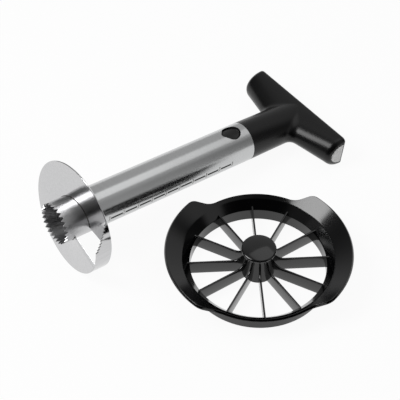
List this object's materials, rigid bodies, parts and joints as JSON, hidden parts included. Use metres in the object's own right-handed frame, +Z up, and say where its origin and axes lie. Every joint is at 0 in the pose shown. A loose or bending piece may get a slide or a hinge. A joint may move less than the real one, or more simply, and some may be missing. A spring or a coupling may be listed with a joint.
{
  "type": "pineapple slicer",
  "caption": "Pineapple slicer with a toothed core cutter, a spiral blade on a steel tube and a pull-off T handle, lying beside its round wedge cutter.",
  "frame": {"origin": "on the table, under the middle of the box round the slicer and its wedge cutter", "axes": "+Z up from the table, +X along the lying slicer from its cutting tip to its handle, +Y from the wedge cutter towards the slicer"},
  "size_m": [0.253, 0.2278, 0.0882],
  "materials": {
    "brushed_steel": "brushed",
    "polished_steel": "polished",
    "blade_steel": "satin",
    "black_grip": "satin",
    "grey_cap": "satin",
    "black_plug": "matt",
    "screw_steel": "zinc plated",
    "black_button": "satin",
    "spring_steel": "drawn wire",
    "black_gloss": "gloss"
  },
  "bodies": {
    "slicer": {"tube": "brushed_steel", "core_cutter": "polished_steel", "spiral_blade": "blade_steel"},
    "handle": {"handle_grip": "black_grip", "end_cap_left": "grey_cap", "end_cap_right": "grey_cap", "handle_plug": "black_plug", "plug_lid": "black_plug", "plug_screw": "screw_steel", "button_spring": "spring_steel"},
    "button": {"release_button": "black_button"},
    "wedge_cutter": {"wedge_ring": "black_gloss", "wedge_hub": "black_gloss", "hub_cap": "black_gloss", "wedge_blade_01": "black_gloss", "wedge_blade_02": "black_gloss", "wedge_blade_03": "black_gloss", "wedge_blade_04": "black_gloss", "wedge_blade_05": "black_gloss", "wedge_blade_06": "black_gloss", "wedge_blade_07": "black_gloss", "wedge_blade_08": "black_gloss", "wedge_blade_09": "black_gloss", "wedge_blade_10": "black_gloss", "wedge_blade_11": "black_gloss", "wedge_blade_12": "black_gloss"}
  },
  "joints": [
    {"name": "handle_pull", "type": "slide", "parent": "slicer", "child": "handle", "axis": [0.9916, 0, -0.1295], "range_m": [0, 0.048]},
    {"name": "button_press", "type": "slide", "parent": "handle", "child": "button", "axis": [0.1295, 0, 0.9916], "range_m": [0, 0.002], "stiffness_N_per_m": 800, "springref_m": 0.006, "deforming": ["button_spring"]},
    {"name": "wedge_lift", "type": "slide", "parent": "slicer", "child": "wedge_cutter", "axis": [0, 0, 1], "range_m": [0, 0.06]}
  ]
}
